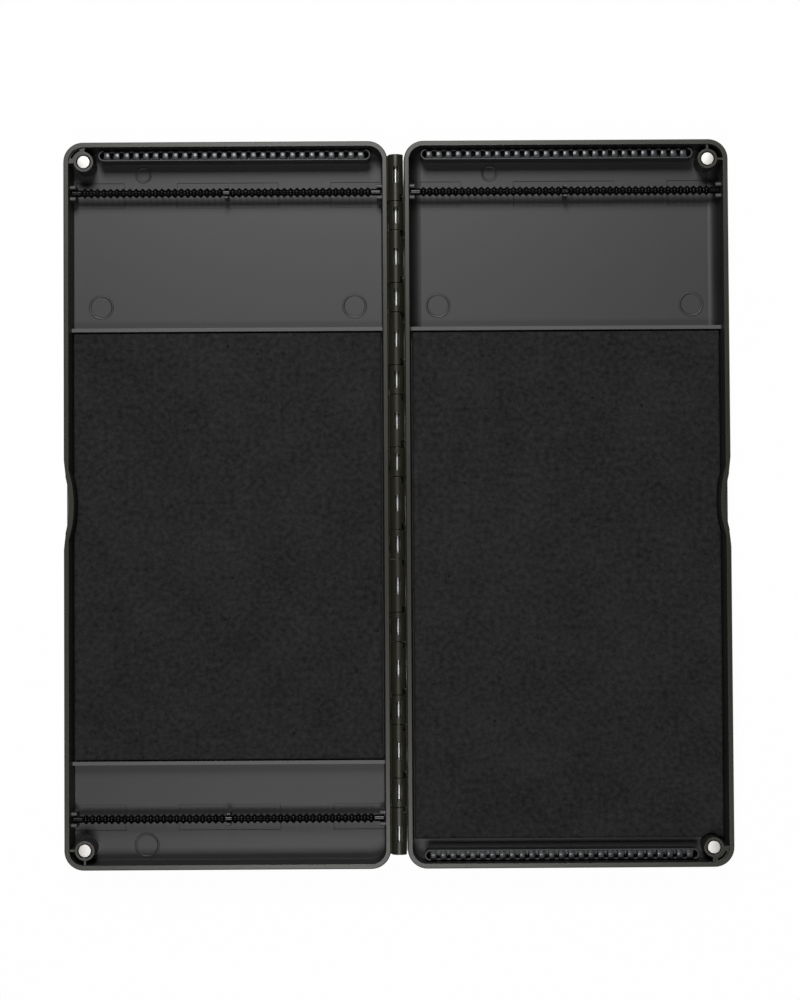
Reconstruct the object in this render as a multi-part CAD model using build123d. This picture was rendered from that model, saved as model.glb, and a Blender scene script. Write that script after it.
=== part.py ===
from build123d import *
import math
import os

# Fishing rig box: two shallow trays lie open on one moulded hinge, in millimetres, +Z up.
# The origin is the middle of the footprint on the table, and +Y runs along the hinge.
# Every sub-part is drawn for the tray at +X, and the tray at -X takes its mirror image.

# Trays
TRAY_LENGTH = 370.0
TRAY_WIDTH = 165.3
TRAY_DEPTH = 18.5
CORNER_RADIUS = 10.0
WALL = 2.5
FLOOR = 2.0
OUTER_DRAFT_DEGREES = 1.0
INNER_DRAFT_DEGREES = 2.8
BASE_CHAMFER = 1.6
RIM_CHAMFER = 0.45
OVERRUN = 1.0

# Hinge, with its axis just above the rims, so that the closed rims nearly meet
HINGE_GAP = 8.4
CLOSED_GAP = 0.3
HINGE_INSET = 7.5
BARREL_DIAMETER = 7.5
SHORT_KNUCKLES = 8
SHORT_KNUCKLE = 14.5
END_KNUCKLE = 23.55
KNUCKLE_GAP = 0.4
KNUCKLE_FOOT = 8.5
GROOVE_DEPTH = 1.6
WINDOW_LENGTH = 8.3
WINDOW_WIDTH = 2.9
NOTCH_LENGTH = 3.1
NOTCH_OFFSET = 2.0
SHOULDER_CLEARANCE = 0.3
SHOULDER_HEIGHT = 2.0
PIN_DIAMETER = 2.0
PIN_CLEARANCE = 0.08
PIN_RECESS = 2.5

# Dividers across the trays, each at its distance from the nearer end
DIVIDER_THICKNESS = 1.9
DIVIDER_DROP = 9.5
TOP_DIVIDER_INSET = 95.2
LOW_DIVIDER_INSET = 53.2

# Foam boards, each stuck down by a thin sheet
FOAM_THICKNESS = 5.8
FOAM_CLEARANCE = 0.5
FOAM_TAIL_GAP = 4.9
ADHESIVE_THICKNESS = 0.2
ADHESIVE_MARGIN = 2.0

# Magnets in bosses at the outer corners
MAGNET_SIDE_INSET = 10.3
MAGNET_END_INSET = 10.0
MAGNET_DIAMETER = 6.4
MAGNET_THICKNESS = 3.0
MAGNET_CLEARANCE = 0.5
MAGNET_RECESS = 0.2
BOSS_WALL = 1.3
CORNER_WEB = 1.1
CORNER_WEB_DROP = 0.7
CORNER_FILL_DROP = 0.8
CORNER_SLOT_RADIUS = 7.2
CORNER_SLOT = 1.0
CORNER_SLOT_DEPTH = 6.0
CORNER_SLOT_START_DEGREES = 18.0
CORNER_SLOT_TURN_DEGREES = 53.0

# Comb strips in sockets beside the tray ends
TOOTH_PITCH = 5.0
TOOTH_LENGTH = 3.2
TOOTH_WIDTH = 3.9
TOOTH_STAND = 0.6
TOOTH_DEPTH = 5.0
STRIP_CLEARANCE = 0.1
SOCKET_LIP = 0.7
SOCKET_DROP = 4.0
SOCKET_SILL_DROP = 3.0
SOCKET_INSET = 3.5
SOCKET_HINGE_INSET = 8.7
SOCKET_BOSS_GAP = 2.1

# Ribbed hook rails and the forks that hold them
RAIL_INSET = 25.0
RAIL_DROP = 8.0
RAIL_CORE = 3.0
RAIL_RING = 5.0
RAIL_JOURNAL = 3.6
RAIL_END_GAP = 0.5
RAIL_END_JOURNAL = 5.5
RING_PITCH = 3.3
RAIL_SIDES = 6
FORK_CLEARANCE = 0.15
END_FORK = 2.6
END_PRONG = 1.9
CENTRE_FORK = 1.8
CENTRE_PRONG = 1.2
PRONG_RISE = 2.4
PRONG_CHAMFER_SHARE = 0.3

# Shallow rectangles in the floor below the rails
PAD_DEPTH = 0.2
PAD_WIDTH = 13.0
CENTRE_PAD = 52.0
SIDE_PAD = 26.0

# Finger scoop in the middle of each outer long side
SCOOP_CHORD = 35.0
SCOOP_BOW = 2.7
SCOOP_DEPTH = 6.0
RECESS_DEPTH = 0.9
RECESS_FLAT = 31.0
RECESS_RAMP = 7.5

# Places that follow from the sizes above
WALL_X = HINGE_GAP / 2
TRAY_X = WALL_X + TRAY_WIDTH / 2
OUTER_X = WALL_X + TRAY_WIDTH
END_Y = TRAY_LENGTH / 2
SEAT_Z = FLOOR / 2
AXIS_Z = TRAY_DEPTH + CLOSED_GAP / 2
HINGE_LENGTH = TRAY_LENGTH - 2 * HINGE_INSET
KNUCKLE_ROW = HINGE_LENGTH - 2 * END_KNUCKLE - 2 * KNUCKLE_GAP - SHORT_KNUCKLE
KNUCKLE_PITCH = KNUCKLE_ROW / (SHORT_KNUCKLES - 1)
LONG_KNUCKLE = KNUCKLE_PITCH - SHORT_KNUCKLE - 2 * KNUCKLE_GAP
END_KNUCKLE_Y = HINGE_LENGTH / 2 - END_KNUCKLE / 2
TOP_DIVIDER_Y = END_Y - TOP_DIVIDER_INSET
LOW_DIVIDER_Y = LOW_DIVIDER_INSET - END_Y
MAGNET_X = OUTER_X - MAGNET_SIDE_INSET
MAGNET_Y = END_Y - MAGNET_END_INSET
BOSS_DIAMETER = MAGNET_DIAMETER + 2 * MAGNET_CLEARANCE + 2 * BOSS_WALL
SOCKET_WIDTH = TOOTH_WIDTH + 2 * STRIP_CLEARANCE + 2 * SOCKET_LIP
SOCKET_OUTER_INSET = MAGNET_SIDE_INSET + BOSS_DIAMETER / 2 + SOCKET_BOSS_GAP
SOCKET_LENGTH = TRAY_WIDTH - SOCKET_HINGE_INSET - SOCKET_OUTER_INSET
SOCKET_X = WALL_X + SOCKET_HINGE_INSET + SOCKET_LENGTH / 2
SOCKET_Y = END_Y - SOCKET_INSET - SOCKET_WIDTH / 2
SOCKET_TOP = TRAY_DEPTH - SOCKET_DROP
RAIL_Y = END_Y - RAIL_INSET
RAIL_Z = TRAY_DEPTH - RAIL_DROP
SCOOP_RADIUS = (SCOOP_CHORD**2 / 4 + SCOOP_BOW**2) / (2 * SCOOP_BOW)
SCOOP_X = OUTER_X - SCOOP_BOW + SCOOP_RADIUS


def inner_width(height):
    """Clear width between the drafted walls of a tray at a height above the table."""
    slope = (TRAY_DEPTH - height) * math.tan(math.radians(INNER_DRAFT_DEGREES))
    return TRAY_WIDTH - 2 * WALL - 2 * slope


def raised(outline, low, high):
    """An outline made solid from one height to another."""
    return extrude(Pos(0, 0, low) * outline, amount=high - low)


def upright(diameter, low, high):
    """A round column about the vertical through the origin."""
    return raised(Circle(diameter / 2), low, high)


def along_hinge(outline, length):
    """An outline drawn in x and z, made solid evenly to both sides of y = 0."""
    return extrude(Plane.XZ * outline, amount=length / 2, both=True)


# The tray itself


def tray_block():
    """The outside of a tray, drafted down from the rim, with a bevelled base."""
    outline = RectangleRounded(TRAY_WIDTH, TRAY_LENGTH, CORNER_RADIUS)
    outside = extrude(Pos(TRAY_X, 0, TRAY_DEPTH) * outline, amount=-TRAY_DEPTH, taper=OUTER_DRAFT_DEGREES)
    outside = chamfer(outside.faces().sort_by(Axis.Z)[0].edges(), BASE_CHAMFER)
    return chamfer(outside.faces().sort_by(Axis.Z)[-1].edges(), RIM_CHAMFER)


def tray_cavity():
    """The space inside the walls, drafted down to the floor."""
    outline = RectangleRounded(TRAY_WIDTH - 2 * WALL, TRAY_LENGTH - 2 * WALL, CORNER_RADIUS - WALL)
    return extrude(Pos(TRAY_X, 0, TRAY_DEPTH) * outline, amount=FLOOR - TRAY_DEPTH, taper=INNER_DRAFT_DEGREES)


def finger_scoop(block):
    """The wall drawn in for a fingertip: what the tray gains inside, and what it loses outside."""
    at_side = Pos(SCOOP_X, 0, 0)
    gained = at_side * upright(2 * (SCOOP_RADIUS + WALL), SEAT_Z, TRAY_DEPTH) & block
    scoop = at_side * upright(2 * SCOOP_RADIUS, TRAY_DEPTH - SCOOP_DEPTH, TRAY_DEPTH + OVERRUN)
    flat_y = RECESS_FLAT / 2
    ramp_y = flat_y + RECESS_RAMP
    half = [
        (OUTER_X - RECESS_DEPTH, flat_y),
        (OUTER_X, ramp_y),
        (OUTER_X + OVERRUN, ramp_y),
    ]
    outline = half + [(x, -y) for x, y in reversed(half)]
    recess = raised(make_face(Polyline(outline, close=True)), -OVERRUN, TRAY_DEPTH + OVERRUN)
    return gained, scoop + recess


def divider(place_y):
    """A thin wall across the tray."""
    outline = Rectangle(TRAY_WIDTH - WALL, DIVIDER_THICKNESS)
    return Pos(TRAY_X, place_y, 0) * raised(outline, SEAT_Z, TRAY_DEPTH - DIVIDER_DROP)


# Hinge


def short_knuckle_places():
    """Middles of the short knuckles along the hinge."""
    first = -KNUCKLE_PITCH * (SHORT_KNUCKLES - 1) / 2
    return [first + KNUCKLE_PITCH * number for number in range(SHORT_KNUCKLES)]


def long_knuckle_places():
    """Middles of the long knuckles, which lie between the short ones."""
    return [place + KNUCKLE_PITCH / 2 for place in short_knuckle_places()[:-1]]


def knuckle(length, place_y, notched_ends):
    """One knuckle: its barrel and its foot on the wall, with a notch at each end that is named."""
    foot = [
        (0, AXIS_Z),
        (WALL_X + WALL / 2, TRAY_DEPTH - GROOVE_DEPTH),
        (WALL_X + WALL / 2, AXIS_Z - KNUCKLE_FOOT),
        (0, AXIS_Z - BARREL_DIAMETER / 2),
    ]
    section = Pos(0, AXIS_Z) * Circle(BARREL_DIAMETER / 2) + make_face(Polyline(foot, close=True))
    body = along_hinge(section, length)
    for end in notched_ends:
        notch_y = end * (length / 2 - NOTCH_LENGTH / 2 + OVERRUN / 2)
        notch = Pos(-NOTCH_OFFSET - BARREL_DIAMETER / 2, notch_y, 0) * raised(
            Rectangle(BARREL_DIAMETER, NOTCH_LENGTH + OVERRUN), 0, AXIS_Z + BARREL_DIAMETER
        )
        body -= notch
    return Pos(0, place_y, 0) * body


def shoulder(place_y):
    """The foot of a short knuckle, which reaches below the notches to both sides of it."""
    low_x = NOTCH_OFFSET + SHOULDER_CLEARANCE
    high_x = WALL_X + WALL / 2
    outline = Rectangle(high_x - low_x, SHORT_KNUCKLE + 2 * (KNUCKLE_GAP + NOTCH_LENGTH))
    low = AXIS_Z - KNUCKLE_FOOT
    return Pos((low_x + high_x) / 2, place_y, 0) * raised(outline, low, low + SHOULDER_HEIGHT)


def short_knuckles():
    """The right tray's row of knuckles on their shoulders."""
    places = short_knuckle_places()
    return [knuckle(SHORT_KNUCKLE, place, []) for place in places] + [shoulder(place) for place in places]


def long_knuckles():
    """The left tray's row, whose flanks are notched beside each short knuckle."""
    inner = [knuckle(LONG_KNUCKLE, place, [-1, 1]) for place in long_knuckle_places()]
    outer = [knuckle(END_KNUCKLE, end * END_KNUCKLE_Y, [-end]) for end in (-1, 1)]
    return inner + outer


def hinge_cuts():
    """The square channel for the pin, open upwards in each knuckle's window and downwards between them."""
    width = PIN_DIAMETER + 2 * PIN_CLEARANCE
    channel = along_hinge(Pos(0, AXIS_Z) * Rectangle(width, width), HINGE_LENGTH + OVERRUN)
    window = raised(Rectangle(WINDOW_WIDTH, WINDOW_LENGTH), AXIS_Z, AXIS_Z + BARREL_DIAMETER)
    step = KNUCKLE_PITCH / 2
    slot = raised(Rectangle(width, step - WINDOW_LENGTH), AXIS_Z - KNUCKLE_FOOT - OVERRUN, AXIS_Z)
    last = SHORT_KNUCKLES
    windows = [Pos(0, step * number, 0) * window for number in range(-last, last + 1)]
    slots = [Pos(0, step * (number + 1 / 2), 0) * slot for number in range(-last, last)]
    return [channel] + windows + slots


def hinge_pin():
    """The steel pin, a little shorter than the barrel."""
    return along_hinge(Pos(0, AXIS_Z) * Circle(PIN_DIAMETER / 2), HINGE_LENGTH - 2 * PIN_RECESS)


# Magnets


def sector(radius, turn_degrees, low, high):
    """A slice of a round column, which starts at +X and turns towards +Y."""
    kept = (Align.NONE, Align.NONE, Align.MIN)
    return Pos(0, 0, low) * Cylinder(radius, high - low, arc_size=turn_degrees, align=kept)


def magnet_boss(end, filled):
    """A boss in an outer corner with its webs, and with a slotted fill between them if asked."""
    top = TRAY_DEPTH - CORNER_WEB_DROP
    reach = CORNER_RADIUS - WALL / 2
    web = raised(Pos(reach / 2, 0) * Rectangle(reach, CORNER_WEB), SEAT_Z, top)
    boss = upright(BOSS_DIAMETER, SEAT_Z, TRAY_DEPTH) + web + Rot(0, 0, 90) * web
    if filled:
        slot = sector(CORNER_SLOT_RADIUS, CORNER_SLOT_TURN_DEGREES, top - CORNER_SLOT_DEPTH, top + OVERRUN)
        slot = Rot(0, 0, CORNER_SLOT_START_DEGREES) * slot
        slot -= upright(2 * (CORNER_SLOT_RADIUS - CORNER_SLOT), 0, top + OVERRUN)
        boss += sector(reach, 90, SEAT_Z, top - CORNER_FILL_DROP) - slot
    boss = Pos(MAGNET_X, MAGNET_Y, 0) * boss
    return boss if end > 0 else mirror(boss, about=Plane.XZ)


def magnet_pocket(end):
    """The round pocket for a magnet."""
    low = TRAY_DEPTH - MAGNET_RECESS - MAGNET_THICKNESS
    pocket = upright(MAGNET_DIAMETER + 2 * MAGNET_CLEARANCE, low, TRAY_DEPTH + OVERRUN)
    return Pos(MAGNET_X, end * MAGNET_Y, 0) * pocket


def magnet(end):
    """One disc magnet at the bottom of its pocket."""
    top = TRAY_DEPTH - MAGNET_RECESS
    return Pos(MAGNET_X, end * MAGNET_Y, 0) * upright(MAGNET_DIAMETER, top - MAGNET_THICKNESS, top)


# Comb strips


def comb_socket(end):
    """The moulded ring that holds a comb strip, with a low sill on the side of the tray's end."""
    outline = SlotOverall(SOCKET_LENGTH, SOCKET_WIDTH)
    outline -= SlotOverall(SOCKET_LENGTH - 2 * SOCKET_LIP, SOCKET_WIDTH - 2 * SOCKET_LIP)
    ring = raised(outline, SEAT_Z, SOCKET_TOP)
    over_sill = Pos(0, end * SOCKET_WIDTH / 2) * Rectangle(SOCKET_LENGTH - SOCKET_WIDTH, 2 * SOCKET_LIP)
    ring -= raised(over_sill, SOCKET_TOP - SOCKET_SILL_DROP, SOCKET_TOP + OVERRUN)
    return Pos(SOCKET_X, end * SOCKET_Y, 0) * ring


def comb_strip(end):
    """A strip with a row of teeth that grip the lines."""
    teeth = int((SOCKET_LENGTH - SOCKET_WIDTH - TOOTH_LENGTH) // TOOTH_PITCH) + 1
    length = (teeth - 1) * TOOTH_PITCH + TOOTH_LENGTH
    top = SOCKET_TOP + TOOTH_STAND
    bar = raised(Rectangle(length, TOOTH_WIDTH), FLOOR, top)
    between = Rectangle(TOOTH_PITCH - TOOTH_LENGTH, TOOTH_WIDTH + OVERRUN)
    slot = raised(between, top - TOOTH_DEPTH, top + OVERRUN)
    gaps = GridLocations(TOOTH_PITCH, 0, teeth - 1, 1)
    return Pos(SOCKET_X, end * SOCKET_Y, 0) * (bar - [place * slot for place in gaps])


# Hook rails


def rail_fork(place_x, place_y, thickness, prong):
    """A plate with a seat between two prongs, square to the rail."""
    gap = RAIL_JOURNAL + 2 * FORK_CLEARANCE
    depth = RAIL_JOURNAL / 2 / math.cos(math.pi / RAIL_SIDES) + FORK_CLEARANCE
    top = RAIL_Z + PRONG_RISE
    plate = Pos(0, SEAT_Z) * Rectangle(gap + 2 * prong, top - SEAT_Z, align=(Align.CENTER, Align.MIN))
    seat = Pos(0, RAIL_Z - depth) * Rectangle(gap, 2 * gap, align=(Align.CENTER, Align.MIN))
    plate = chamfer((plate - seat).vertices().group_by(Axis.Y)[-1], PRONG_CHAMFER_SHARE * prong)
    side = Plane((place_x, place_y, 0), x_dir=(0, 1, 0), z_dir=(1, 0, 0))
    return extrude(side * plate, amount=thickness / 2, both=True)


def rail_forks(end):
    """A fork in the middle and one against each side wall."""
    place_y = end * RAIL_Y
    reach = inner_width(RAIL_Z) / 2 + WALL / 2
    end_x = reach - (END_FORK + WALL / 2) / 2
    forks = [rail_fork(TRAY_X, place_y, CENTRE_FORK, CENTRE_PRONG)]
    for side in (-1, 1):
        forks.append(rail_fork(TRAY_X + side * end_x, place_y, END_FORK + WALL / 2, END_PRONG))
    return forks


def rail_plan():
    """A quarter of a rail's outline from above, from its middle outwards: rings between two journals."""
    half = inner_width(RAIL_Z) / 2 - RAIL_END_GAP
    rings = int((half - RAIL_END_JOURNAL) // RING_PITCH)
    outline = [(RING_PITCH / 2, RAIL_JOURNAL / 2), (RING_PITCH / 2, RAIL_CORE / 2)]
    for number in range(1, rings + 1):
        outline.append((number * RING_PITCH, RAIL_RING / 2))
        outline.append(((number + 1 / 2) * RING_PITCH, RAIL_CORE / 2))
    last_ring = (rings + 1 / 2) * RING_PITCH
    return outline + [(last_ring, RAIL_JOURNAL / 2), (half, RAIL_JOURNAL / 2)]


def hook_rail(end):
    """A ribbed rod with flat sides: what is common to slabs of one outline, turned about its axis."""
    quarter = rail_plan()
    upper = [(-x, y) for x, y in reversed(quarter)] + quarter
    outline = make_face(Polyline(upper + [(x, -y) for x, y in reversed(upper)], close=True))
    slab = extrude(outline, amount=RAIL_RING, both=True)
    rod = slab
    for number in range(1, RAIL_SIDES // 2):
        rod &= Rot(number * 360 / RAIL_SIDES, 0, 0) * slab
    return Pos(TRAY_X, end * RAIL_Y, RAIL_Z) * rod


# Shallow marks in the floor


def rail_pads(end):
    """Three shallow rectangles in the floor below a rail."""
    side_x = (inner_width(FLOOR) - SIDE_PAD) / 2
    pads = []
    for place_x, length in ((0, CENTRE_PAD), (-side_x, SIDE_PAD), (side_x, SIDE_PAD)):
        pad = raised(Rectangle(length, PAD_WIDTH), FLOOR - PAD_DEPTH, FLOOR + PAD_DEPTH)
        pads.append(Pos(TRAY_X + place_x, end * RAIL_Y, 0) * pad)
    return pads


# Foam boards


def foam_outline(low_y, high_y, margin):
    """Outline of a board between two places along the tray, clear of the scooped wall and the boss."""
    width = inner_width(FLOOR) - 2 * margin
    length = high_y - low_y - 2 * margin
    outline = Pos(TRAY_X, (low_y + high_y) / 2) * Rectangle(width, length)
    outline -= Pos(SCOOP_X, 0) * Circle(SCOOP_RADIUS + WALL + margin)
    return outline - Pos(MAGNET_X, -MAGNET_Y) * Circle(BOSS_DIAMETER / 2 + margin)


def foam_board(low_y, high_y):
    """One board, standing on its adhesive sheet."""
    low = FLOOR + ADHESIVE_THICKNESS
    return raised(foam_outline(low_y, high_y, FOAM_CLEARANCE), low, low + FOAM_THICKNESS)


def foam_adhesive(low_y, high_y):
    """The thin sheet between a board and the floor."""
    outline = foam_outline(low_y, high_y, FOAM_CLEARANCE + ADHESIVE_MARGIN)
    return raised(outline, FLOOR, FLOOR + ADHESIVE_THICKNESS)


# Whole shells


def shell(knuckles, inner_pieces, filled_end, pads):
    """One moulded tray: its block, what stands in it, its half of the hinge, and its cuts."""
    outside = tray_block()
    gained, scoop = finger_scoop(outside)
    standing = [gained] + inner_pieces + [magnet_boss(end, end == filled_end) for end in (-1, 1)]
    body = outside - ([tray_cavity()] + pads) + (standing + knuckles)
    return body - ([scoop] + [magnet_pocket(end) for end in (-1, 1)] + hinge_cuts())


def left_shell():
    """The tray at -X, with two rails, two dividers and one comb."""
    inner = rail_forks(1) + rail_forks(-1) + [divider(TOP_DIVIDER_Y), divider(LOW_DIVIDER_Y), comb_socket(1)]
    return mirror(shell(long_knuckles(), inner, 1, rail_pads(1) + rail_pads(-1)), about=Plane.YZ)


def right_shell():
    """The tray at +X, with one rail, one divider and two combs."""
    inner = rail_forks(1) + [divider(TOP_DIVIDER_Y), comb_socket(1), comb_socket(-1)]
    return shell(short_knuckles(), inner, -1, rail_pads(1))


def pieces():
    """Every sub-part by name, in place."""
    board_top = TOP_DIVIDER_Y - DIVIDER_THICKNESS / 2
    left_board = (LOW_DIVIDER_Y + DIVIDER_THICKNESS / 2, board_top)
    right_board = (-SOCKET_Y + SOCKET_WIDTH / 2 + FOAM_TAIL_GAP - FOAM_CLEARANCE, board_top)
    left = {
        "left_foam_board": foam_board(*left_board),
        "left_foam_adhesive": foam_adhesive(*left_board),
        "left_top_hook_rail": hook_rail(1),
        "left_bottom_hook_rail": hook_rail(-1),
        "left_top_comb_strip": comb_strip(1),
        "left_top_magnet": magnet(1),
        "left_bottom_magnet": magnet(-1),
    }
    made = {name: mirror(solid, about=Plane.YZ) for name, solid in left.items()}
    made["left_shell"] = left_shell()
    made["hinge_pin"] = hinge_pin()
    made["right_shell"] = right_shell()
    made["right_foam_board"] = foam_board(*right_board)
    made["right_foam_adhesive"] = foam_adhesive(*right_board)
    made["right_top_hook_rail"] = hook_rail(1)
    made["right_top_comb_strip"] = comb_strip(1)
    made["right_bottom_comb_strip"] = comb_strip(-1)
    made["right_top_magnet"] = magnet(1)
    made["right_bottom_magnet"] = magnet(-1)
    return made


def main():
    os.makedirs("parts", exist_ok=True)
    for name, solid in pieces().items():
        export_step(solid, "parts/" + name + ".step")
        print(name, "volume", round(solid.volume), "faces", len(solid.faces()))


if __name__ == "__main__":
    main()
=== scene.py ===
# %% [markdown]
# # A fishing rig box, open flat
#
# The real box is two shallow trays of black, satin plastic on one moulded hinge. Each tray has a
# foam board for pinning rigs, ribbed rails for hooks, combs for line ends and magnets in the
# corners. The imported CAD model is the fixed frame: this lesson dresses it, piece by piece, with
# Blender.

# %% Load the frame
import math

import bmesh
import bpy
from mathutils import Matrix, Vector


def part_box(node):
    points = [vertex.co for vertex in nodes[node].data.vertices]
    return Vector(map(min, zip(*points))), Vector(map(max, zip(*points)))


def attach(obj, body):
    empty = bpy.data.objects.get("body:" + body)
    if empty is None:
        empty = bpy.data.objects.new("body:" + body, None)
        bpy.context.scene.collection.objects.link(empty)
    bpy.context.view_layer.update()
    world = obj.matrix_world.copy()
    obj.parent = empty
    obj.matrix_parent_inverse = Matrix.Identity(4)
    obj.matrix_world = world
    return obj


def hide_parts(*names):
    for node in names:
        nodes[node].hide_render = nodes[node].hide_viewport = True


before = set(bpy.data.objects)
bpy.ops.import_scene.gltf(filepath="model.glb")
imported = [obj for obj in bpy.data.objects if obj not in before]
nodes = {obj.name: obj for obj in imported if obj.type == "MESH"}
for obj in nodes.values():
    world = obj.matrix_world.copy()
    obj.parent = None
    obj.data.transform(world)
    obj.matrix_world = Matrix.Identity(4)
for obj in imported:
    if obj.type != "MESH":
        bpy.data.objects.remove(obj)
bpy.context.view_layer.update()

MM = 0.001

# %% [markdown]
# ## The camera
#
# The photograph looks almost straight down on the middle of the box from about 1.2 metres. The
# camera could be aimed with a constraint, but its small turns are known one by one, so they are
# written as they are: a tilt about X, a turn about Y and a roll about its own line of sight.

# %% Camera
CAMERA_PLACE = Vector((-0.4, -32.9, 1200.0)) * MM
CAMERA_TILT_DEGREES = 1.673
CAMERA_TURN_DEGREES = -0.082
CAMERA_ROLL_DEGREES = -0.338
FOCAL_LENGTH_PIXELS = 2327.3
IMAGE_HEIGHT_PIXELS = 1000
SENSOR_MM = 36.0


def turned(degrees, axis):
    """A turn about one axis, as a matrix."""
    return Matrix.Rotation(math.radians(degrees), 4, axis)


camera_data = bpy.data.cameras.new("camera")
camera_data.sensor_width = SENSOR_MM
camera_data.lens = SENSOR_MM * FOCAL_LENGTH_PIXELS / IMAGE_HEIGHT_PIXELS
camera = bpy.data.objects.new("camera", camera_data)
camera.matrix_world = (
    Matrix.Translation(CAMERA_PLACE)
    @ turned(CAMERA_TURN_DEGREES, "Y")
    @ turned(CAMERA_TILT_DEGREES, "X")
    @ turned(CAMERA_ROLL_DEGREES, "Z")
)
bpy.context.scene.collection.objects.link(camera)
bpy.context.scene.camera = camera
print("The lens is", round(camera_data.lens, 1), "mm")

# %% [markdown]
# ## Shader maths that reads like arithmetic
#
# Materials here are made of nodes. Adding and linking each Math node by hand takes many lines, so
# one small class holds an output socket and gives it Python's own signs: `grain * 0.5 + 0.2` adds
# the Math nodes by itself. Any other node comes from the one method `node`.


# %% Wires between shader nodes
class Wire:
    """One output socket of a node tree, which can be used in sums."""

    def __init__(self, tree, socket=None):
        self.tree = tree
        self.socket = socket

    def node(self, kind, sockets=None, output=0, stops=None, **settings):
        """Adds a node: its settings first, then the values or wires of its sockets."""
        made = self.tree.nodes.new(kind)
        for name, value in settings.items():
            setattr(made, name, value)
        for number, (place, grey) in enumerate(stops or []):
            elements = made.color_ramp.elements
            element = elements[number] if number < 2 else elements.new(place)
            element.position = place
            element.color = (grey, grey, grey, 1)
        for name, value in (sockets or {}).items():
            if isinstance(value, Wire):
                self.tree.links.new(value.socket, made.inputs[name])
            else:
                made.inputs[name].default_value = value
        return Wire(self.tree, made.outputs[output])

    def maths(self, operation, *values):
        """A Math node on numbers or wires."""
        return self.node("ShaderNodeMath", dict(enumerate(values)), operation=operation)

    def most(self, other):
        """The larger of this wire and another value."""
        return self.maths("MAXIMUM", self, other)

    def beyond(self, limit):
        """1 where this wire is further from zero than the limit, and 0 elsewhere."""
        return self.maths("GREATER_THAN", self.maths("ABSOLUTE", self), limit)

    def __add__(self, other):
        return self.maths("ADD", self, other)

    def __sub__(self, other):
        return self.maths("SUBTRACT", self, other)

    def __rsub__(self, other):
        return self.maths("SUBTRACT", other, self)

    def __mul__(self, other):
        return self.maths("MULTIPLY", self, other)

    __radd__ = __add__
    __rmul__ = __mul__

    def ramp(self, *stops):
        """Grey levels along a ramp, from (place, grey) pairs."""
        return self.node("ShaderNodeValToRGB", {"Fac": self}, stops=stops)

    def rise(self, low, high):
        """0 up to the first value, 1 from the second, and a straight rise between them."""
        sockets = {"Value": self, "From Min": low, "From Max": high}
        return self.node("ShaderNodeMapRange", sockets)

    def blend(self, low, high):
        """Two colour wires or colours with alpha, mixed by this wire."""
        return self.node("ShaderNodeMix", {0: self, 6: low, 7: high}, output=2, data_type="RGBA")

    def between(self, low, high):
        """Two plain colours mixed by this wire."""
        return self.blend((*low, 1), (*high, 1))


def new_material(name, **constants):
    """A Principled material, with the values that are the same all over set on its own sockets."""
    material = bpy.data.materials.new(name)
    material.use_nodes = True
    shader = material.node_tree.nodes["Principled BSDF"]
    for socket, value in constants.items():
        shader.inputs[socket.replace("_", " ")].default_value = value
    return material, shader, Wire(material.node_tree)


def place_of(wire):
    """Object coordinates, in metres from the object's origin."""
    return wire.node("ShaderNodeTexCoord", output="Object")


def noise(wire, place, size, detail=2.0, roughness=0.5):
    """Noise with features of one size in metres."""
    sockets = {"Vector": place, "Scale": 1 / size, "Detail": detail, "Roughness": roughness}
    return wire.node("ShaderNodeTexNoise", sockets)


def bump(wire, height, distance, normal=None):
    """Small relief, with the height from 0 to 1 worth a distance in metres."""
    sockets = {"Height": height, "Distance": distance, "Strength": 1.0}
    if normal is not None:
        sockets["Normal"] = normal
    return wire.node("ShaderNodeBump", sockets)


def feed(shader, **wires):
    """Links wires to the sockets of the Principled shader."""
    for socket, wire in wires.items():
        wire.tree.links.new(wire.socket, shader.inputs[socket.replace("_", " ")])


print("The wires are ready")

# %% [markdown]
# ## Satin shell plastic
#
# The shells are injection moulded in a mould whose steel is finely spark eroded, which leaves a
# satin grain of about half a millimetre. Flow of the melt leaves large, faint clouds. The tops of
# the dividers and forks are painted paler, a painted highlight where they catch the light. The
# rims and the hinge come off polished steel, so they're smoother, with an olive cast. Each zone is
# found by its height above the table and by how level the surface is there, so the upright walls
# stay one colour; round the hinge the height is enough. The Bevel node rounds every sharp edge by
# a fraction of a millimetre, as moulding does, without a new face.

# %% Shell plastic
FLOOR_DARK = (0.012, 0.012, 0.012)
FLOOR_LIGHT = (0.020, 0.020, 0.020)
# Painted highlight: paler colours for level faces at the height of the dividers' and forks' tops
TOP_HIGHLIGHT_DARK = (0.060, 0.060, 0.060)
TOP_HIGHLIGHT_LIGHT = (0.080, 0.080, 0.080)
TOP_HIGHLIGHT_FROM = (8.4 * MM, 8.9 * MM)
TOP_HIGHLIGHT_TO = (13.2 * MM, 14.2 * MM)
RIM_DARK = (0.0125, 0.0120, 0.0060)
RIM_LIGHT = (0.0215, 0.0205, 0.0125)
RIM_FROM = (15 * MM, 16.5 * MM)
HINGE_REACH = 6 * MM
TOP_FACING = (0.3, 0.6)
FLOOR_ROUGHNESS = 0.40
CLOUD_ROUGHENS = 0.08
GRAIN_ROUGHENS = 0.10
RIM_SMOOTHER = 0.14
SHELL_GLOSS = 0.65
CLOUD_SIZE = 45 * MM
CLOUD_SHARE = 0.6
GRAIN_SIZE = 0.45 * MM
GRAIN_SHARE = 0.4
GRAIN_DEPTH = 0.012 * MM
EDGE_RADIUS = 0.28 * MM
EDGE_SAMPLES = 6
WIDE_RAMP = ((0.3, 0.0), (0.7, 1.0))
NARROW_RAMP = ((0.35, 0.0), (0.65, 1.0))


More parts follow.
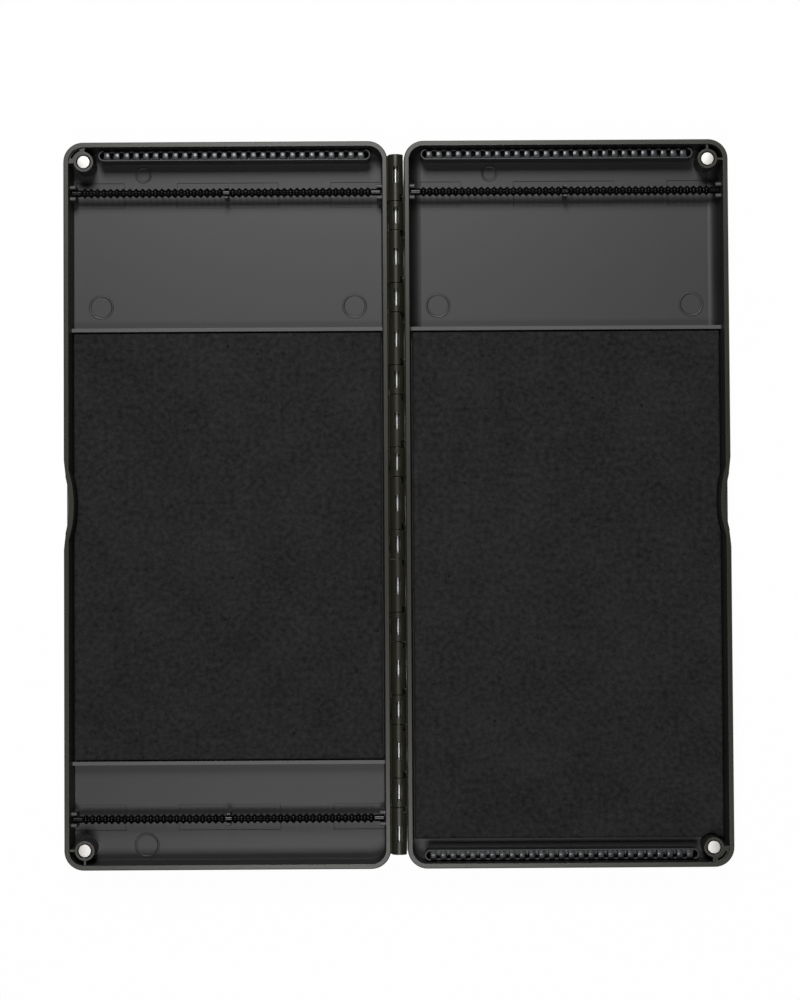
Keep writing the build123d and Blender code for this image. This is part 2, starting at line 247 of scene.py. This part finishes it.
def shell_plastic():
    """Black satin plastic: a fine grain, faint clouds, soft edges and an olive cast on the rims."""
    material, shader, wire = new_material("shell_plastic", Specular_IOR_Level=SHELL_GLOSS)
    place = place_of(wire)
    clouds = noise(wire, place, CLOUD_SIZE, detail=4.0, roughness=0.6)
    grain = noise(wire, place, GRAIN_SIZE, detail=3.0)
    shade = (clouds * CLOUD_SHARE + grain * GRAIN_SHARE).ramp(*WIDE_RAMP)
    height = wire.node("ShaderNodeSeparateXYZ", {0: place}, output="Z")
    across = wire.node("ShaderNodeSeparateXYZ", {0: place}, output="X")
    facing = wire.node("ShaderNodeTexCoord", output="Normal")
    level = wire.node("ShaderNodeSeparateXYZ", {0: facing}, output="Z").rise(*TOP_FACING)
    # Painted highlight: level tops of the dividers and forks are painted paler where they catch
    # light
    painted_highlight = (height.rise(*TOP_HIGHLIGHT_FROM) - height.rise(*TOP_HIGHLIGHT_TO)) * level
    upper = height.rise(*RIM_FROM) * level.most(1 - across.beyond(HINGE_REACH))
    plain = shade.between(FLOOR_DARK, FLOOR_LIGHT)
    lower = painted_highlight.blend(plain, shade.between(TOP_HIGHLIGHT_DARK, TOP_HIGHLIGHT_LIGHT))
    colour = upper.blend(lower, shade.between(RIM_DARK, RIM_LIGHT))
    uneven = clouds * CLOUD_ROUGHENS + grain * GRAIN_ROUGHENS
    rounded = wire.node("ShaderNodeBevel", {"Radius": EDGE_RADIUS}, samples=EDGE_SAMPLES)
    feed(
        shader,
        Base_Color=colour,
        Roughness=uneven + FLOOR_ROUGHNESS - upper * RIM_SMOOTHER,
        Normal=bump(wire, grain, GRAIN_DEPTH, rounded),
    )
    return material


shell_material = shell_plastic()
for name in ("left_shell", "right_shell"):
    nodes[name].material_slots[0].material = shell_material
print("Both shells are satin black")

# %% [markdown]
# ## Black foam
#
# The boards are closed-cell foam, dull and full of tiny cells, with a few larger open pits. Cells
# are Voronoi cells of under a millimetre. The pits are the middles of the cells of a much coarser
# pattern, so they lie as unevenly as real ones. Each pit is dented by the bump and painted darker,
# a painted shade for its hollow.

# %% Foam material
FOAM_DARK = (0.0115, 0.0115, 0.0115)
FOAM_LIGHT = (0.034, 0.034, 0.034)
MOTTLE_SIZE = 2.6 * MM
MOTTLE_SHARE = 0.55
CELL_SIZE = 0.7 * MM
CELL_DEPTH = 0.12 * MM
SPECKLE_SHARE = 0.25
PATCH_SIZE = 30 * CELL_SIZE
PATCH_SHARE = 0.2
PIT_SPACING = 16 * MM
PIT_RADIUS_SHARE = 0.05
PIT_PAINTED_SHADE = 0.5
FOAM_ROUGHNESS = 0.82
FOAM_GLOSS = 0.06
SPECKLE_ROUGHENS = 0.1
CELL_RELIEF = 0.6
SPECKLE_RELIEF = 0.4


def foam():
    """Dull foam with fine cells and a few pits."""
    material, shader, wire = new_material("foam", Specular_IOR_Level=FOAM_GLOSS)
    place = place_of(wire)
    cells = wire.node("ShaderNodeTexVoronoi", {"Vector": place, "Scale": 1 / CELL_SIZE})
    speckle = noise(wire, place, CELL_SIZE, detail=4.0, roughness=0.7)
    mottle = noise(wire, place, MOTTLE_SIZE, detail=3.0, roughness=0.6)
    patches = noise(wire, place, PATCH_SIZE, detail=3.0)
    from_centre = wire.node("ShaderNodeTexVoronoi", {"Vector": place, "Scale": 1 / PIT_SPACING})
    pits = from_centre.maths("LESS_THAN", from_centre, PIT_RADIUS_SHARE)
    shade = speckle * SPECKLE_SHARE + mottle * MOTTLE_SHARE + patches * PATCH_SHARE
    # Painted shade: each pit is painted darker, standing in for the shade inside the hollow
    shade = shade - pits * PIT_PAINTED_SHADE
    relief = cells * CELL_RELIEF + speckle * SPECKLE_RELIEF
    feed(
        shader,
        Base_Color=shade.ramp(*NARROW_RAMP).between(FOAM_DARK, FOAM_LIGHT),
        Roughness=speckle * SPECKLE_ROUGHENS + FOAM_ROUGHNESS,
        Normal=bump(wire, relief - pits, CELL_DEPTH),
    )
    return material


foam_material = foam()
print("The foam is ready")

# %% [markdown]
# ## The small parts' finishes
#
# The rails are moulded in a polished tool, so they're glossier and blacker than the shells. The
# combs are a softer blue-grey plastic. The magnets are nickel plated and finely pitted, and the
# pin is drawn steel wire with scratches along its length. The adhesive under the foam is a pale
# sheet.

# %% Rail, comb and adhesive materials
RAIL_BLACK = (0.002, 0.002, 0.002)
RAIL_WORN = (0.004, 0.004, 0.004)
RAIL_ROUGHNESS = 0.2
RAIL_GLOSS = 0.25
RAIL_PATCH = 4 * MM
COMB_DARK = (0.030, 0.033, 0.037)
COMB_LIGHT = (0.048, 0.052, 0.057)
COMB_ROUGHNESS = 0.3
COMB_GLOSS = 0.6
COMB_PATCH = 3 * MM
SHEET_DARK = (0.5, 0.5, 0.48)
SHEET_LIGHT = (0.6, 0.6, 0.58)
SHEET_ROUGHNESS = 0.6
SHEET_GLOSS = 0.5
SHEET_PATCH = 5 * MM
RIPPLES_PER_PATCH = 6
RIPPLE_DEPTH = 0.01 * MM
PATCHES_ROUGHEN = 0.12


def smooth_plastic(name, dark, light, roughness, gloss, patch_size):
    """Plastic whose shade, shine and surface are faintly uneven."""
    material, shader, wire = new_material(name, Specular_IOR_Level=gloss)
    place = place_of(wire)
    patches = noise(wire, place, patch_size, detail=3.0)
    ripple = noise(wire, place, patch_size / RIPPLES_PER_PATCH)
    feed(
        shader,
        Base_Color=patches.ramp(*NARROW_RAMP).between(dark, light),
        Roughness=patches * PATCHES_ROUGHEN + (roughness - PATCHES_ROUGHEN / 2),
        Normal=bump(wire, ripple, RIPPLE_DEPTH),
    )
    return material


rail_material = smooth_plastic(
    "rail_plastic", RAIL_BLACK, RAIL_WORN, RAIL_ROUGHNESS, RAIL_GLOSS, RAIL_PATCH
)
comb_material = smooth_plastic(
    "comb_plastic", COMB_DARK, COMB_LIGHT, COMB_ROUGHNESS, COMB_GLOSS, COMB_PATCH
)
sheet_material = smooth_plastic(
    "adhesive", SHEET_DARK, SHEET_LIGHT, SHEET_ROUGHNESS, SHEET_GLOSS, SHEET_PATCH
)
for name in ("left_foam_adhesive", "right_foam_adhesive"):
    nodes[name].material_slots[0].material = sheet_material
print("Rail, comb and adhesive finishes are ready")

# %% Nickel and steel
NICKEL_DARK = (0.78, 0.76, 0.73)
NICKEL_LIGHT = (0.92, 0.90, 0.87)
NICKEL_ROUGHNESS = 0.6
STEEL_DARK = (0.55, 0.55, 0.55)
STEEL_LIGHT = (0.78, 0.78, 0.77)
STEEL_ROUGHNESS = 0.42
EVEN = (1, 1, 1)
DRAWN_ALONG_Y = (1, 0.05, 1)
MARK_SIZE = 0.3 * MM
MARK_DEPTH = 0.004 * MM
MARKS_ROUGHEN = 0.1


def metal(name, dark, light, roughness, stretch):
    """Bare metal with fine marks, drawn out by a stretch along each axis."""
    material, shader, wire = new_material(name, Metallic=1.0)
    place = wire.node("ShaderNodeMapping", {"Vector": place_of(wire), "Scale": stretch})
    marks = noise(wire, place, MARK_SIZE, detail=3.0)
    feed(
        shader,
        Base_Color=marks.ramp(*WIDE_RAMP).between(dark, light),
        Roughness=marks * MARKS_ROUGHEN + (roughness - MARKS_ROUGHEN / 2),
        Normal=bump(wire, marks, MARK_DEPTH),
    )
    return material


nickel = metal("magnet_nickel", NICKEL_DARK, NICKEL_LIGHT, NICKEL_ROUGHNESS, EVEN)
steel = metal("pin_steel", STEEL_DARK, STEEL_LIGHT, STEEL_ROUGHNESS, DRAWN_ALONG_Y)
nodes["hinge_pin"].material_slots[0].material = steel
print("Nickel and steel are ready")

# %% [markdown]
# ## New pieces
#
# Each new piece starts as a bmesh, is finished there, and becomes one object at the origin. The
# helper below takes such a bmesh, shades it smooth except across its real corners, gives it its
# material, makes it ride on its tray and hides the CAD node that it stands for.


# %% From bmesh to piece
CORNER_DEGREES = 40
ROUND_PROFILE = 0.5
TRAYS = {"left": -1, "right": 1}
MERGE_DISTANCE = 0.01 * MM
SEAM_DISTANCE = 0.001 * MM


def piece(name, shape, material, body, replaced=None, smooth=True):
    """Makes an object of a finished bmesh and tells the frame what it is."""
    bmesh.ops.recalc_face_normals(shape, faces=shape.faces)
    mesh = bpy.data.meshes.new(name)
    shape.to_mesh(mesh)
    shape.free()
    mesh.materials.append(material)
    if smooth:
        mesh.shade_smooth()
        mesh.set_sharp_from_angle(angle=math.radians(CORNER_DEGREES))
    made = bpy.data.objects.new(name, mesh)
    bpy.context.scene.collection.objects.link(made)
    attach(made, body)
    if replaced:
        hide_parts(replaced)
    print(name, "has", len(mesh.polygons), "faces")
    return made


def bevel(shape, edges, offset, segments, profile=ROUND_PROFILE):
    """Rounds or hollows edges of a bmesh."""
    bmesh.ops.bevel(
        shape,
        geom=edges,
        affect="EDGES",
        offset=offset,
        segments=segments,
        profile=profile,
        material=-1,
    )


print("The trays are", " and ".join(TRAYS))

# %% [markdown]
# ## Ribbed hook rails
#
# A rail is a round rod whose radius swells and shrinks along its length. That is a turned shape,
# so its outline is drawn once and spun about the rod's own axis. A cosine gives the ribs their
# soft crests and valleys, in steps fine enough to be shaded smooth, and short plain stretches lie
# in the forks.

# %% Rails
RING_PITCH = 3.3 * MM
RING_RADIUS = 2.5 * MM
CORE_RADIUS = 1.45 * MM
JOURNAL_RADIUS = 1.8 * MM
JOURNAL_SHARE = 0.9
END_JOURNAL = 5.5 * MM
END_CHAMFER = 0.4 * MM
STEPS_PER_RING = 12
SIDES = 20


def rail_outline(half):
    """Points (along, radius) of half a rail, from its middle to its end."""
    rings = int((half - END_JOURNAL) // RING_PITCH)
    first = RING_PITCH / 2
    points = [(0, JOURNAL_RADIUS), (first * JOURNAL_SHARE, JOURNAL_RADIUS)]
    for step in range(rings * STEPS_PER_RING + 1):
        share = step / STEPS_PER_RING
        swell = 0.5 - 0.5 * math.cos(2 * math.pi * share)
        radius = CORE_RADIUS + (RING_RADIUS - CORE_RADIUS) * swell
        points.append((first + share * RING_PITCH, radius))
    last = points[-1][0]
    points += [(last + END_CHAMFER / 2, JOURNAL_RADIUS), (half - END_CHAMFER, JOURNAL_RADIUS)]
    return points + [(half, JOURNAL_RADIUS - END_CHAMFER), (half, 0)]


def hook_rail(node, body):
    """One rail, spun about its axis."""
    low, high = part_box(node)
    middle = (low + high) / 2
    half = rail_outline((high.x - low.x) / 2)
    outline = [(-along, radius) for along, radius in reversed(half[1:])] + half
    shape = bmesh.new()
    places = [middle + Vector((along, 0, radius)) for along, radius in outline]
    corners = [shape.verts.new(place) for place in places]
    edges = [shape.edges.new(pair) for pair in zip(corners, corners[1:])]
    bmesh.ops.spin(
        shape,
        geom=corners + edges,
        cent=middle,
        axis=(1, 0, 0),
        angle=2 * math.pi,
        steps=SIDES,
        use_merge=True,
    )
    bmesh.ops.remove_doubles(shape, verts=shape.verts, dist=SEAM_DISTANCE)
    return piece(node + "_ribbed", shape, rail_material, body, node)


for node in ("left_top_hook_rail", "left_bottom_hook_rail", "right_top_hook_rail"):
    hook_rail(node, node.split("_")[0] + "_tray")

# %% [markdown]
# ## Line combs
#
# The comb's teeth stand in a row on a solid strip. Each is flared and level beside the socket's
# lip, and falls away to the tray's end, which is where it catches the light. One tooth is a cube
# that two planes cut across; then each row of its corners is lowered by its own amount and the
# top bevelled.

# %% Combs
TOOTH_PITCH = 5.0 * MM
TOOTH_LENGTH = 2.8 * MM
TOOTH_HEIGHT = 9.0 * MM
TOOTH_ROUNDING = 0.22 * MM
TOOTH_ROUNDING_STEPS = 2
TOOTH_FLARE = 0.4 * MM
CLOSE_SHARE = 0.01
ABOVE_FOOT = 1 * MM
# Each is how far across the tooth a row of corners lies, and how far down it's pushed
TOOTH_SECTION = ((0.0, 0.05 * MM), (0.45, 0.0), (0.86, 0.32 * MM), (1.0, 1.5 * MM))


def block(shape, low, high):
    """A box between two corners, added to a bmesh; returns its vertices."""
    size = high - low
    place = Matrix.Translation((low + high) / 2) @ Matrix.Diagonal((*size, 1))
    return bmesh.ops.create_cube(shape, size=1, matrix=place)["verts"]


def tooth(shape, low, high, outward):
    """One tooth: flared beside the socket's lip, level, then a gentle slope and a steep end."""
    corners = block(shape, low, high)
    width = high.y - low.y
    lip_y = low.y if outward > 0 else high.y
    for across, _ in TOOTH_SECTION[1:-1]:
        parts = set(corners)
        for corner in corners:
            parts.update(corner.link_edges, corner.link_faces)
        cut = (0, lip_y + outward * across * width, 0)
        made = bmesh.ops.bisect_plane(shape, geom=list(parts), plane_co=cut, plane_no=(0, 1, 0))
        corners += [part for part in made["geom_cut"] if isinstance(part, bmesh.types.BMVert)]
    middle_x = (low.x + high.x) / 2
    for corner in corners:
        across = (corner.co.y - lip_y) * outward / width
        if across < CLOSE_SHARE:
            corner.co.x += math.copysign(TOOTH_FLARE, corner.co.x - middle_x)
        if corner.co.z > low.z + ABOVE_FOOT:
            corner.co.z -= min(TOOTH_SECTION, key=lambda point: abs(point[0] - across))[1]
    return corners


def comb_strip(node, body, outward):
    """A solid strip with its row of teeth."""
    low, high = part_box(node)
    shape = bmesh.new()
    foot = high.z - TOOTH_HEIGHT
    block(shape, low, Vector((high.x, high.y, foot)))
    teeth = round((high.x - low.x - TOOTH_LENGTH) / TOOTH_PITCH) + 1
    for number in range(teeth):
        start = low.x + number * TOOTH_PITCH
        end = start + TOOTH_LENGTH
        tooth(shape, Vector((start, low.y, foot)), Vector((end, high.y, high.z)), outward)
    above = foot + ABOVE_FOOT
    upper = [edge for edge in shape.edges if all(corner.co.z > above for corner in edge.verts)]
    bevel(shape, upper, TOOTH_ROUNDING, TOOTH_ROUNDING_STEPS)
    return piece(node + "_toothed", shape, comb_material, body, node)


COMB_SIDES = {"left_top_comb_strip": 1, "right_top_comb_strip": 1, "right_bottom_comb_strip": -1}
for node, side in COMB_SIDES.items():
    comb_strip(node, node.split("_")[0] + "_tray", side)

# %% [markdown]
# ## Foam boards
#
# A foam board is die-cut from a sheet, and the blade presses its edges down into a soft, rolled
# shoulder that catches the light. A copy of the CAD board has the right outline already, with its
# hollows for the finger scoop and the magnet's boss. It is merged, its flat faces are made whole,
# and the shoulder comes from a few small insets of the top, each raised a little less than the
# one before.

# %% Foam boards
# Each is how far in a step goes and how far up, in millimetres
SHOULDER_STEPS = ((0.2, 0.3), (0.35, 0.3), (0.5, 0.2), (0.7, 0.08))
FLAT_DEGREES = 1
FACES_UP = 0.5


def foam_board(node, body):
    """A board whose top edge rolls down in a soft shoulder."""
    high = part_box(node)[1]
    shape = bmesh.new()
    shape.from_mesh(nodes[node].data)
    bmesh.ops.remove_doubles(shape, verts=shape.verts, dist=MERGE_DISTANCE)
    flat = math.radians(FLAT_DEGREES)
    bmesh.ops.dissolve_limit(shape, angle_limit=flat, verts=shape.verts, edges=shape.edges)
    facing_up = [face for face in shape.faces if face.normal.z > FACES_UP]
    top = max(facing_up, key=lambda face: face.calc_center_median().z)
    drop = sum(rise for _, rise in SHOULDER_STEPS) * MM
    bmesh.ops.translate(shape, verts=top.verts, vec=(0, 0, -drop))
    for width, rise in SHOULDER_STEPS:
        bmesh.ops.inset_region(
            shape, faces=[top], thickness=width * MM, depth=0, use_even_offset=True
        )
        bmesh.ops.translate(shape, verts=top.verts, vec=(0, 0, rise * MM))
    print("The top of", node, "lies at", round(high.z / MM, 2), "mm")
    board = piece(node + "_cut", shape, foam_material, body, node, smooth=False)
    return board


for node in ("left_foam_board", "right_foam_board"):
    foam_board(node, node.split("_")[0] + "_tray")

# %% [markdown]
# ## Magnets
#
# A plated disc magnet has a tumbled, rounded rim that catches a bright ring of light. A cone with
# two equal ends is a cylinder, and its rims are bevelled.

# %% Magnets
MAGNET_EDGE = 0.25 * MM
MAGNET_EDGE_STEPS = 3
MAGNET_SIDES = 64


def disc_magnet(node, body):
    """A disc with rounded rims."""
    low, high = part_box(node)
    shape = bmesh.new()
    radius = (high.x - low.x) / 2
    bmesh.ops.create_cone(
        shape,
        cap_ends=True,
        segments=MAGNET_SIDES,
        radius1=radius,
        radius2=radius,
        depth=high.z - low.z,
        matrix=Matrix.Translation((low + high) / 2),
    )
    rims = []
    for edge in shape.edges:
        first, second = edge.verts
        if abs(first.co.z - second.co.z) < MERGE_DISTANCE:
            rims.append(edge)
    bevel(shape, rims, MAGNET_EDGE, MAGNET_EDGE_STEPS)
    return piece(node + "_disc", shape, nickel, body, node)


for tray in TRAYS:
    for end in ("top", "bottom"):
        disc_magnet(f"{tray}_{end}_magnet", tray + "_tray")

# %% [markdown]
# ## Ejector marks
#
# Where the mould's ejector pins push, a moulding keeps faint round marks with a raised rim. The
# rim's outline is a low hump, drawn beside the mark's axis and spun about it. All marks of a tray
# are one piece.

# %% Ejector marks
TRAY_WIDTH = 165.3 * MM
LARGE_MARK = 6.4 * MM
SMALL_MARK = 4.3 * MM
MARK_SIDES = 64
MARK_SECTION_MM = ((0.0, -0.02), (-0.15, 0.16), (-0.4, 0.22), (-0.8, 0.16), (-1.3, -0.02))
MARK_SECTION = [(across * MM, rise * MM) for across, rise in MARK_SECTION_MM]
FLOOR_TOP = 2.0 * MM
LARGE_MARK_INSET = 17.3 * MM
LARGE_MARK_ABOVE_DIVIDER = 12.6 * MM
DIVIDER_FROM_END = 95.2 * MM
SMALL_MARK_FROM_END = 14.2 * MM
RIGHT_SMALL_MARK_FROM_HINGE_WALL = 44.2 * MM
LEFT_SMALL_MARK_FROM_OUTER_WALL = 39.3 * MM
LOW_MARK_FROM_END = 10.9 * MM
LOW_MARK_FROM_OUTER_WALL = 40.2 * MM


def mark_places(side):
    """Where the pins pushed on one tray: (x, y, radius)."""
    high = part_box("right_shell")[1]
    outer, end = high.x, high.y
    inner = outer - TRAY_WIDTH
    row = end - DIVIDER_FROM_END + LARGE_MARK_ABOVE_DIVIDER
    small_row = end - SMALL_MARK_FROM_END
    low_row = LOW_MARK_FROM_END - end
    places = [(x, row, LARGE_MARK) for x in (inner + LARGE_MARK_INSET, outer - LARGE_MARK_INSET)]
    if side > 0:
        places.append((inner + RIGHT_SMALL_MARK_FROM_HINGE_WALL, small_row, SMALL_MARK))
    else:
        places.append((outer - LEFT_SMALL_MARK_FROM_OUTER_WALL, small_row, SMALL_MARK))
        places.append((outer - LOW_MARK_FROM_OUTER_WALL, low_row, LARGE_MARK))
    return [(side * x, y, radius) for x, y, radius in places]


def ejector_marks(tray, side):
    """The round marks on one tray's floor."""
    shape = bmesh.new()
    for x, y, radius in mark_places(side):
        rim = x + radius
        corners = [(rim + across, y, FLOOR_TOP + rise) for across, rise in MARK_SECTION]
        outline = [shape.verts.new(corner) for corner in corners]
        edges = [shape.edges.new(pair) for pair in zip(outline, outline[1:] + outline[:1])]
        bmesh.ops.spin(
            shape,
            geom=outline + edges,
            cent=(x, y, FLOOR_TOP),
            axis=(0, 0, 1),
            angle=2 * math.pi,
            steps=MARK_SIDES,
            use_merge=True,
        )
    bmesh.ops.remove_doubles(shape, verts=shape.verts, dist=SEAM_DISTANCE)
    return piece(tray + "_ejector_marks", shape, shell_material, tray + "_tray")


for tray, side in TRAYS.items():
    ejector_marks(tray, side)

# %% [markdown]
# ## Coves in the right tray
#
# In the right tray's head bay the long walls don't meet the floor in a sharp corner but in a
# hollow cove, which stays dark beside the satin floor. Its section could be typed as a list of
# points. Here a long bar fills the corner, and a bevel with a hollow profile carves its inner
# edge: a profile of a half is round, a quarter is flat, and anything less cuts inwards.

# %% Coves
COVE_WIDTH = 5.6 * MM
COVE_HEIGHT = 5.6 * MM
COVE_SINK = 0.05 * MM
COVE_TUCK = 0.25 * MM
COVE_HOLLOW = 0.086
COVE_SEGMENTS = 12
WALL_FROM_OUTSIDE = 2.5 * MM
WALL_DRAFT = 0.8 * MM


def cove(shape, wall_x, inward, low_y, high_y):
    """A hollow corner bar, from a wall towards the inside of the tray."""
    toe_x = wall_x + inward * COVE_WIDTH
    low = Vector((min(wall_x, toe_x), low_y, FLOOR_TOP - COVE_SINK))
    high = Vector((max(wall_x, toe_x), high_y, FLOOR_TOP + COVE_HEIGHT))
    corners = block(shape, low, high)
    inner = [c for c in corners if c.co.z > FLOOR_TOP and abs(c.co.x - toe_x) < MERGE_DISTANCE]
    edge = shape.edges.get(inner)
    bevel(shape, [edge], COVE_WIDTH - COVE_SINK, COVE_SEGMENTS, COVE_HOLLOW)


def right_coves():
    """The two coves beside the right tray's head bay."""
    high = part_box("right_shell")[1]
    inner = high.x - TRAY_WIDTH + WALL_FROM_OUTSIDE + WALL_DRAFT - COVE_TUCK
    outer = high.x - WALL_FROM_OUTSIDE - WALL_DRAFT + COVE_TUCK
    low_y = high.y - DIVIDER_FROM_END
    high_y = high.y - WALL_FROM_OUTSIDE
    shape = bmesh.new()
    cove(shape, inner, 1, low_y, high_y)
    cove(shape, outer, -1, low_y, high_y)
    return piece("right_head_bay_coves", shape, shell_material, "right_tray")


right_coves()

# %% [markdown]
# ## Floor, lights and background
#
# The box lies on a white table, which shows as plain white around it and keeps a faint shadow.
# Only the strip below the hinge stays paper in the box's own shade, because white would shine up
# through the hinge's gaps. Two soft panels stand beyond the box's two ends, so that the walls
# across the box catch light and the long walls stay dark. The one at the top is stronger and
# stands further out. The world glows faintly overhead and hardly fills in.

# %% Floor
FLOOR_SIZE = 20.0
UNDER_HINGE_X = 12 * MM
UNDER_HINGE_Y = 178 * MM
TABLE_WHITENESS = 0.98
PAPER_DARK = (0.88, 0.88, 0.88)
PAPER_LIGHT = (0.92, 0.92, 0.92)
PAPER_GRAIN = 0.4 * MM
PAPER_ROUGHNESS = 0.9
PAPER_GLOSS = 0.1
table_shape = bmesh.new()
bmesh.ops.create_grid(table_shape, x_segments=1, y_segments=1, size=FLOOR_SIZE / 2)
table_mesh = bpy.data.meshes.new("table")
table_shape.to_mesh(table_mesh)
table_shape.free()
table = bpy.data.objects.new("table", table_mesh)
bpy.context.scene.collection.objects.link(table)


def table_white():
    """White paper, shown as white around the box and as plain paper below the hinge."""
    material, shader, wire = new_material(
        "table_white", Roughness=PAPER_ROUGHNESS, Specular_IOR_Level=PAPER_GLOSS
    )
    place = place_of(wire)
    grain = noise(wire, place, PAPER_GRAIN)
    feed(shader, Base_Color=grain.between(PAPER_DARK, PAPER_LIGHT))
    kinds = ("Camera", "Glossy", "Transmission")
    rays = [wire.node("ShaderNodeLightPath", output=f"Is {kind} Ray") for kind in kinds]
    seen = rays[0].most(rays[1]).most(rays[2])
    beside = wire.node("ShaderNodeSeparateXYZ", {0: place}, output="X").beyond(UNDER_HINGE_X)
    beyond = wire.node("ShaderNodeSeparateXYZ", {0: place}, output="Y").beyond(UNDER_HINGE_Y)
    outside = beside.most(beyond)
    white = wire.node("ShaderNodeEmission", {"Strength": 1.0})
    paper = Wire(wire.tree, shader.outputs[0])
    share = seen * outside * TABLE_WHITENESS
    mixed = wire.node("ShaderNodeMixShader", {0: share, 1: paper, 2: white})
    wire.tree.links.new(mixed.socket, wire.tree.nodes["Material Output"].inputs["Surface"])
    return material


table_mesh.materials.append(table_white())
print("The table is", FLOOR_SIZE, "m across")

# %% Lights
TOP_PANEL_PLACE = Vector((-0.10, 0.78, 1.21))
TOP_PANEL_SIZES = (0.35, 0.56)
TOP_PANEL_WATTS = 12.8
LOW_PANEL_PLACE = Vector((-0.05, -0.52, 1.1))
LOW_PANEL_SIZES = (0.35, 0.27)
LOW_PANEL_WATTS = 4.5


def panel(name, place, sizes, watts):
    """A soft panel that faces the box."""
    data = bpy.data.lights.new(name, "AREA")
    data.shape = "RECTANGLE"
    data.size, data.size_y = sizes
    data.energy = watts
    lamp = bpy.data.objects.new(name, data)
    facing = place.to_track_quat("Z", "Y").to_matrix().to_4x4()
    lamp.matrix_world = Matrix.Translation(place) @ facing
    lamp.visible_camera = False
    bpy.context.scene.collection.objects.link(lamp)
    return lamp


panel("top_panel", TOP_PANEL_PLACE, TOP_PANEL_SIZES, TOP_PANEL_WATTS)
panel("low_panel", LOW_PANEL_PLACE, LOW_PANEL_SIZES, LOW_PANEL_WATTS)
print("Two panels light the box from beyond its ends")

# %% World
WORLD_LOW = 0.01
WORLD_HIGH = 0.05
GLOW_STARTS = 0.72
GLOW_FULL = 0.93
world = bpy.data.worlds.new("studio")
world.use_nodes = True
bpy.context.scene.world = world
sky = Wire(world.node_tree)
direction = sky.node("ShaderNodeTexCoord", output="Generated")
height = sky.node("ShaderNodeSeparateXYZ", {0: direction}, output="Z")
glow_range = {
    "Value": height,
    "From Min": GLOW_STARTS,
    "From Max": GLOW_FULL,
    "To Min": WORLD_LOW,
    "To Max": WORLD_HIGH,
}
level = height.node("ShaderNodeMapRange", glow_range, interpolation_type="SMOOTHSTEP")
glow = sky.node("ShaderNodeBackground", {"Color": (1, 1, 1, 1), "Strength": level})
world_output = world.node_tree.nodes["World Output"]
world.node_tree.links.new(glow.socket, world_output.inputs["Surface"])
bpy.context.scene.view_settings.view_transform = "Standard"
print("The world glows from", WORLD_LOW, "at the horizon to", WORLD_HIGH, "overhead")
